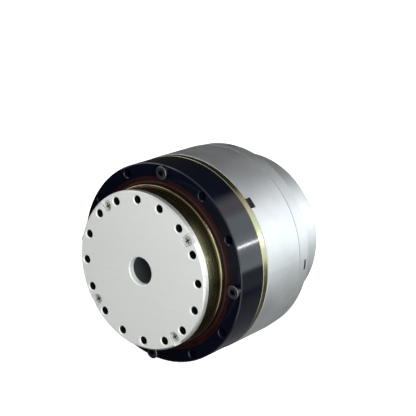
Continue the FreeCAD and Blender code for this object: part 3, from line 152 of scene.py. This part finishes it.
class Finish(Tree):
    """A Principled material with procedural variation in colour, roughness and relief."""

    def __init__(self, colour, metallic, roughness):
        self.material = bpy.data.materials.new("finish")
        super().__init__(self.material)
        self.sockets = self.nodes["Principled BSDF"].inputs
        self.place = self.nodes.new("ShaderNodeTexCoord").outputs["Object"]
        self.give("Base Color", colour)
        self.give("Metallic", metallic)
        self.give("Roughness", roughness)

    # Patterns and masks. A mask is 1 inside its zone and 0 elsewhere.
    def noise(self, scale, detail=4.0, roughness=0.5, stretch=(1, 1, 1), turn=(0, 0, 0)):
        """Noise between about 0.3 and 0.7, with a scale in grains per metre and a turn in degrees."""
        mapping = self.nodes.new("ShaderNodeMapping")
        self.feed(mapping.inputs["Vector"], self.place)
        self.feed(mapping.inputs["Scale"], stretch)
        self.feed(mapping.inputs["Rotation"], [math.radians(angle) for angle in turn])
        node = self.nodes.new("ShaderNodeTexNoise")
        self.feed(node.inputs["Vector"], mapping.outputs["Vector"])
        self.feed(node.inputs["Scale"], scale)
        self.feed(node.inputs["Detail"], detail)
        self.feed(node.inputs["Roughness"], roughness)
        return node.outputs["Fac"]

    def radius(self):
        """Distance from the joint axis."""
        place = self.split(self.place)
        squares = [self.compute("MULTIPLY", place[axis], place[axis]) for axis in "XZ"]
        return self.compute("SQRT", self.compute("ADD", *squares))

    def depth(self):
        """Place along the joint axis, growing from front to rear."""
        return self.split(self.place)["Y"]

    def tilt(self):
        """0 on walls along the joint axis, 1 on flat faces across it."""
        normal = self.nodes.new("ShaderNodeNewGeometry").outputs["Normal"]
        return self.compute("ABSOLUTE", self.split(normal)["Y"])

    def above(self, value, limit):
        """Mask of where the value is more than the limit."""
        return self.compute("GREATER_THAN", value, limit)

    def below(self, value, limit):
        """Mask of where the value is less than the limit."""
        return self.compute("LESS_THAN", value, limit)

    def overlap(self, first, *others):
        """Mask of what lies in every one of some masks."""
        for other in others:
            first = self.compute("MULTIPLY", first, other)
        return first

    def within(self, value, low, high):
        """Mask of where the value lies between low and high."""
        return self.overlap(self.above(value, low), self.below(value, high))

    def bevels(self):
        """Mask of the faces that are neither walls nor flat."""
        return self.within(self.tilt(), WALL_TILT, FLAT_TILT)

    def masked(self, mask, outside, inside):
        """One number outside a mask and another inside it."""
        return self.ranged(mask, outside, inside, 0.0, 1.0)

    # What the shader shows
    def give(self, socket, value):
        """One of the shader's sockets takes a value, or follows another socket."""
        self.feed(self.sockets[socket], value)

    def paint(self, factor, first, second):
        """Colour varies between first and second."""
        self.give("Base Color", self.mix(factor, first, second))

    def polish(self, factor, low, high):
        """Roughness varies between low and high."""
        self.give("Roughness", self.ranged(factor, low, high))

    def relief(self, height, depth, strength):
        """Bump with a depth in metres, shown in full at strength 1."""
        node = self.nodes.new("ShaderNodeBump")
        self.feed(node.inputs["Height"], height)
        self.feed(node.inputs["Distance"], depth)
        self.feed(node.inputs["Strength"], strength)
        self.give("Normal", node.outputs["Normal"])


# --- finishes -----------------------------------------------------------------------------------
# Where a finish takes dark, light, low and high, they are its two colours and its two roughnesses
def plate_finish():
    """Satin aluminium with fine straight grain, a bright turned edge, and bolt hole walls painted black
    as shade.
    """
    edge_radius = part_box("output_plate")[1].x - PLATE_EDGE_WIDTH
    finish = Finish("D9DAD6", metallic=0.3, roughness=0.5)
    grain = finish.noise(300, detail=6.0, roughness=0.6, stretch=(0.05, 1, 6), turn=(0, 3, 0))
    face = finish.mix(finish.ranged(grain, 0, 1), "D8D9D4", "DDDEDA")
    # hole walls deeper than the lip are painted near black (101114) as shade in the bolt holes
    painted_hole_shade = finish.overlap(finish.below(finish.tilt(), WALL_TILT),
                           finish.within(finish.radius(), edge_radius - PLATE_HOLE_BAND, edge_radius),
                           finish.above(finish.depth(), PLATE_HOLE_LIP))
    finish.paint(painted_hole_shade, face, "101114")
    edge = finish.overlap(finish.below(finish.tilt(), FLAT_TILT),
                          finish.above(finish.radius(), edge_radius))
    finish.give("Metallic", finish.masked(edge, outside=0.3, inside=1.0))
    finish.polish(finish.noise(25, detail=2.0), 0.48, 0.56)
    finish.relief(grain, 6 * MICRON, 0.15)
    return finish.material


def steel_finish(dark, light, low, high, grain_scale=400, flat=None):
    """Ground steel with fine rings around the axis.

    A piece that shows its flat faces only at the end of holes has them painted in the colour flat, as
    shade at the floors of its holes.
    """
    finish = Finish(light, metallic=1.0, roughness=(low + high) / 2)
    clouded = finish.ranged(finish.noise(35, detail=3.0), 0, 1)
    if flat:
        # flat faces painted in the colour flat, as shade at the floors of holes
        finish.paint(finish.above(finish.tilt(), FLAT_TILT), finish.mix(clouded, dark, light), flat)
    else:
        finish.paint(clouded, dark, light)
    rings = finish.noise(grain_scale, detail=3.0, stretch=RING_STRETCH)
    finish.polish(rings, low, high)
    finish.relief(rings, 2 * MICRON, 0.2)
    return finish.material


def rim_finish():
    """Ground steel of the inner bearing ring, its bevels painted a little darker as shade that dims their
    reflections.
    """
    finish = Finish("A9A688", metallic=1.0, roughness=0.12)
    rings = finish.noise(400, detail=3.0, stretch=RING_STRETCH)
    ground = finish.mix(finish.ranged(rings, 0, 1), "A9A688", "B7B492")
    # bevels painted darker (7F7558) as shade that dims their reflections
    finish.paint(finish.bevels(), ground, "7F7558")
    finish.polish(rings, 0.10, 0.16)
    finish.relief(rings, 2 * MICRON, 0.2)
    return finish.material


def black_finish(low, high):
    """Blued steel: nearly black, with a cold sheen that is weaker on flat faces."""
    finish = Finish("0A0E18", metallic=0.0, roughness=0.2)
    finish.paint(finish.ranged(finish.noise(60), 0, 1), "04060E", "080B17")
    sheen = finish.ranged(finish.tilt(), low=0.38, high=0.10, start=0.8, end=FLAT_TILT)
    finish.give("Specular IOR Level", sheen)
    finish.polish(finish.noise(220, detail=3.0), low, high)
    finish.relief(finish.noise(2500, detail=2.0), 2 * MICRON, 0.2)
    return finish.material


def screw_head_finish():
    """Blackened socket screw: worn grey on its face, black elsewhere and in the socket, with a painted
    highlight on the bevel round its face.
    """
    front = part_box("flange_screws")[0].y
    finish = Finish("3A3C40", metallic=0.6, roughness=0.35)
    wear = finish.noise(1500)
    worn = finish.mix(finish.ranged(wear, 0, 1), "26282C", "3C3F44")
    face = finish.overlap(finish.above(finish.tilt(), FLAT_TILT),
                          finish.below(finish.depth(), front + HEAD_FACE_DEPTH))
    # the bevel round the face is painted lighter (5E6166) as a highlight
    painted_bevel_highlight = finish.overlap(finish.bevels(), finish.below(finish.depth(), front + HEAD_BEVEL_DEPTH))
    finish.paint(painted_bevel_highlight, finish.mix(face, "0B0C10", worn), "5E6166")
    finish.polish(wear, 0.28, 0.42)
    finish.relief(wear, 6 * MICRON, 0.3)
    return finish.material


def cross_screw_finish():
    """Nickel-plated countersunk screw with shadow in its cross recess."""
    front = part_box("plate_screws")[0].y
    finish = Finish("C8C8C2", metallic=0.5, roughness=0.4)
    cloud = finish.noise(900)
    plated = finish.mix(finish.ranged(cloud, 0, 1), "B4B4AE", "CCCCC6")
    finish.paint(finish.above(finish.depth(), front + CROSS_FACE_DEPTH), plated, "2A2A2C")
    finish.polish(cloud, 0.35, 0.45)
    finish.relief(cloud, 4 * MICRON, 0.3)
    return finish.material


def blast(finish, low, high):
    """Bead-blasted grain over a finish."""
    finish.polish(finish.noise(90, detail=3.0), low, high)
    finish.relief(finish.noise(4500, detail=2.0), 8 * MICRON, 0.3)


def blasted_finish(dark, light, low, high, metallic=0.8):
    """Bead-blasted, clear anodised aluminium."""
    finish = Finish(light, metallic=metallic, roughness=(low + high) / 2)
    finish.paint(finish.ranged(finish.noise(40, detail=3.0), 0, 1), dark, light)
    blast(finish, low, high)
    return finish.material


def slotted_housing_finish(dark, light, low, high):
    """Blasted aluminium of the rear housing, painted black as shade in its spanner slots and painted
    darker on its rim bevels as shade that dims their highlight.
    """
    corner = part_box("rear_housing")[1]
    housing_radius = corner.x
    rear_face = corner.y
    finish = Finish(light, metallic=1.0, roughness=(low + high) / 2)
    skin = finish.mix(finish.ranged(finish.noise(40, detail=3.0), 0, 1), dark, light)
    # rim bevels painted darker (A0A1A2) as shade that dims their highlight
    rim = finish.overlap(finish.bevels(),
                         finish.above(finish.radius(), housing_radius - RIM_BEVEL_DEPTH))
    skin = finish.mix(rim, skin, "A0A1A2")
    # spanner slots painted black (121315), not metallic and low in specular, as shade in the slots
    slots = finish.overlap(finish.within(finish.radius(), housing_radius - SLOT_FLOOR_DEPTH,
                                         housing_radius - SLOT_MOUTH_DEPTH),
                           finish.within(finish.depth(), rear_face - SLOT_FRONT_SETBACK,
                                         rear_face - SLOT_BACK_SETBACK))
    finish.paint(slots, skin, "121315")
    finish.give("Metallic", finish.masked(slots, outside=1.0, inside=0.0))
    finish.give("Specular IOR Level", finish.masked(slots, outside=0.5, inside=0.1))
    blast(finish, low, high)
    return finish.material


def satin_finish(dark, light, low, high):
    """Plated metal with a milky sheen."""
    finish = Finish(light, metallic=0.5, roughness=(low + high) / 2)
    cloud = finish.noise(300)
    finish.paint(finish.ranged(cloud, 0, 1), dark, light)
    finish.polish(cloud, low, high)
    finish.relief(finish.noise(2000, detail=2.0), 4 * MICRON, 0.3)
    return finish.material


def rubber_finish():
    """Dark brown-red seal rubber."""
    finish = Finish("241210", metallic=0.0, roughness=0.6)
    finish.give("Specular IOR Level", 0.18)
    cloud = finish.noise(80)
    finish.paint(finish.ranged(cloud, 0, 1), "140606", "240D0B")
    finish.polish(cloud, 0.4, 0.55)
    finish.relief(finish.noise(1800, detail=3.0), 10 * MICRON, 0.3)
    return finish.material


def plastic_finish(dark, light, low, high, gloss=0.5):
    """Moulded plastic or board with a fine matt grain."""
    finish = Finish(light, metallic=0.0, roughness=(low + high) / 2)
    finish.give("Specular IOR Level", gloss)
    cloud = finish.noise(120)
    finish.paint(finish.ranged(cloud, 0, 1), dark, light)
    finish.polish(cloud, low, high)
    finish.relief(finish.noise(2500, detail=2.0), 10 * MICRON, 0.3)
    return finish.material


FINISHES = {
    "plate_aluminium": plate_finish(),
    "gear_steel": steel_finish("A9A688", "B7B492", 0.10, 0.16),
    # both gears' flat faces are painted near black (1C1B16) as shade at the floors of their holes
    "dark_gear_steel": steel_finish("8C8862", "96926C", 0.24, 0.28, flat="1C1B16"),
    "spring_steel": steel_finish("8E8C6A", "989672", 0.22, 0.27, flat="1C1B16"),
    "bearing_steel": steel_finish("B8B8BA", "D0D0D2", 0.05, 0.12),
    "rim_steel": rim_finish(),
    "worn_screws_painted_highlight": screw_head_finish(),
    "cross_screws": cross_screw_finish(),
    "slotted_housing": slotted_housing_finish("B4B5B5", "BEBFBF", 0.55, 0.61),
    # near-black key in the housing's front notch; its black is partly the key's own colour and partly
    # painted shade of the notch
    "key_black_and_painted_shade": plastic_finish("0E0F12", "18191C", 0.45, 0.6, gloss=0.12),
    "black_steel": black_finish(0.09, 0.12),
    "black_screws": black_finish(0.28, 0.40),
    "nickel_screws": satin_finish("B8B8B2", "CCCCC6", 0.35, 0.45),
    "housing_aluminium": blasted_finish("B4B5B5", "BEBFBF", 0.55, 0.61, metallic=1.0),
    "tube_aluminium": blasted_finish("5C6166", "686D72", 0.45, 0.55),
    "seal_rubber": rubber_finish(),
    "spacer_nylon": plastic_finish("B8B09A", "D0C8B2", 0.4, 0.6),
    "laminations": steel_finish("50545A", "6A6E74", 0.3, 0.5, grain_scale=900),
    "magnets": steel_finish("8A8A90", "A4A4AA", 0.2, 0.35),
    "copper": steel_finish("A8582C", "C87840", 0.2, 0.35, grain_scale=900),
    "post_brass": steel_finish("B08A44", "CCA85C", 0.2, 0.35),
    "board_green": plastic_finish("0E3A1E", "16502A", 0.3, 0.5),
    "chip_black": plastic_finish("101012", "1C1C1E", 0.4, 0.6),
    "capacitor_can": blasted_finish("B0B2B6", "C8CACE", 0.2, 0.35),
    "socket_black": plastic_finish("121214", "1E1E20", 0.25, 0.4),
}
for name, material in FINISHES.items():
    material.name = name

# Pieces whose finish differs from the rest of their slot
OWN_FINISH = {
    "circular_spline": "dark_gear_steel",
    "bearing_inner_ring": "rim_steel",
    "flange_screws": "worn_screws_painted_highlight",
    "plate_screws": "cross_screws",
    "rear_housing": "slotted_housing",
    "locating_key": "key_black_and_painted_shade",
}

for entry in RECORD["subparts"]:
    mesh = NODES[entry["node"]].data
    mesh.materials.clear()
    mesh.materials.append(FINISHES[OWN_FINISH.get(entry["node"], entry["material_slot"])])


# --- stage, light and camera ----------------------------------------------------------------------
FLOOR_SIZE = 8.0
FLOOR_GLOW = 0.9


def make_floor():
    """Plain white floor under the part, which leaves its light and reflections alone."""
    half = FLOOR_SIZE / 2
    level = CAD_BOX[0].z
    corners = [(-half, -half, level), (half, -half, level), (half, half, level), (-half, half, level)]
    mesh = bpy.data.meshes.new("floor")
    mesh.from_pydata(corners, [], [(0, 1, 2, 3)])
    finish = Finish(grey(0.8), metallic=0.0, roughness=0.9)
    finish.material.name = "floor_white"
    finish.give("Emission Color", grey(1.0))
    finish.give("Emission Strength", FLOOR_GLOW)
    finish.paint(finish.noise(3, detail=2.0), grey(0.78), grey(0.82))
    mesh.materials.append(finish.material)
    floor = bpy.data.objects.new("floor", mesh)
    floor.visible_glossy = False
    floor.visible_diffuse = False
    floor.visible_shadow = False
    bpy.context.scene.collection.objects.link(floor)


WHITE = (1.0, 1.0, 1.0)
COLD = (0.90, 1.0, 1.04)
ROSE = (1.0, 0.92, 0.97)
FAINT_ROSE = (1.0, 0.97, 1.0)
# Lamps seen in reflections, each a box in direction space: where it reaches along x, y and z,
# the softness of its edges, its tint and its strength
LAMPS = (
    ((0.25, 2.0), (-0.85, 0.96), (-0.185, 0.48), 0.03, COLD, 2.2),          # long panel on the right
    ((0.25, 2.0), (-0.85, 0.96), (0.05, 0.24), 0.06, COLD, 0.5),            # its bright middle
    ((0.25, 2.0), (-0.85, 0.96), (-0.42, -0.185), 0.04, WHITE, 0.22),       # its dim lower part
    ((0.15, 2.0), (-0.85, 0.96), (0.48, 0.61), 0.03, ROSE, 1.2),            # its dim upper part
    ((0.30, 2.0), (0.40, 0.96), (0.124, 0.142), 0.005, WHITE, 36.0),        # thin tube in it
    ((-1.0, 2.0), (-0.30, 0.96), (-2.0, -0.48), 0.08, WHITE, 0.13),         # table top below
    ((-0.5, 2.0), (-2.0, -0.30), (-0.30, 0.90), 0.15, WHITE, 0.25),         # glow around the camera
    ((0.35, 2.0), (-0.85, -0.30), (-0.80, -0.10), 0.08, WHITE, 1.6),        # panel low at the front right
    ((0.15, 2.0), (-0.25, 0.62), (0.46, 0.66), 0.04, FAINT_ROSE, 2.7),      # panel above the long one
    ((0.15, 2.0), (-0.25, 0.60), (-0.46, -0.19), 0.05, WHITE, 1.1),         # panel below the long one
    ((-0.35, 0.50), (-0.75, -0.35), (0.58, 0.95), 0.06, WHITE, 0.8),        # arch over the front, right
    ((-0.78, -0.35), (-0.50, -0.10), (0.58, 0.92), 0.06, WHITE, 2.2),       # the arch's left part
    ((-1.20, -0.78), (-0.35, 0.10), (0.25, 0.65), 0.06, WHITE, 2.2),        # the arch's left end
)
AMBIENT = (0.03, 0.03, 0.03)
# Square lamps near the front of the part: name, place, side and power
NEAR_LAMPS = (
    ("key", Vector((0.25, -0.24, 0.10)), 0.14, 0.44),
    ("fill", Vector((0.13, -0.21, 0.20)), 0.15, 0.44),
)


def make_world():
    """Dim room with soft-edged lamps in it; the camera itself sees plain white."""
    world = bpy.data.worlds.new("studio")
    bpy.context.scene.world = world
    tree = Tree(world)
    direction = tree.split(tree.nodes.new("ShaderNodeTexCoord").outputs["Generated"])
    glow = AMBIENT
    for *reaches, softness, tint, strength in LAMPS:
        lamp = 1.0
        for value, (low, high) in zip(direction, reaches):
            rise = tree.ranged(value, 0, 1, low - softness, low + softness, curve="SMOOTHSTEP")
            fall = tree.ranged(value, 0, 1, high + softness, high - softness, curve="SMOOTHSTEP")
            lamp = tree.compute("MULTIPLY", lamp, tree.compute("MULTIPLY", rise, fall))
        glow = tree.added(glow, tree.scaled([channel * strength for channel in tint], lamp))
    seen_by_camera = tree.nodes.new("ShaderNodeLightPath").outputs["Is Camera Ray"]
    tree.feed(tree.nodes["Background"].inputs["Color"], tree.mix(seen_by_camera, glow, grey(1.0)))


def make_near_lamps():
    """Lamps near enough for a soft fall-off over the face."""
    for name, place, side, power in NEAR_LAMPS:
        lamp = bpy.data.lights.new(name, "AREA")
        lamp.size = side
        lamp.energy = power
        stand = bpy.data.objects.new(name, lamp)
        stand.location = place
        stand.rotation_euler = (-place).to_track_quat("-Z", "Y").to_euler()
        stand.visible_glossy = False
        bpy.context.scene.collection.objects.link(stand)


CAMERA_PLACE = Vector((0.40222, -0.44909, 0.20832))
CAMERA_RIGHT = Vector((0.782760, 0.622323, 0.0))
CAMERA_UP = Vector((-0.172837, 0.217394, 0.960660))
# Both in millimetres, as cameras state them
CAMERA_LENS = 105.618
SENSOR_WIDTH = 36.0


def make_camera():
    """Long lens, level with the horizon, looking down at the output plate from its right."""
    data = bpy.data.cameras.new("camera")
    data.lens = CAMERA_LENS
    data.sensor_width = SENSOR_WIDTH
    camera = bpy.data.objects.new("camera", data)
    back = CAMERA_RIGHT.cross(CAMERA_UP)
    turn = Matrix((CAMERA_RIGHT, CAMERA_UP, back)).transposed()
    camera.matrix_world = Matrix.Translation(CAMERA_PLACE) @ turn.to_4x4()
    bpy.context.scene.collection.objects.link(camera)
    bpy.context.scene.camera = camera


make_floor()
make_world()
make_near_lamps()
make_camera()
bpy.context.scene.view_settings.view_transform = "Standard"
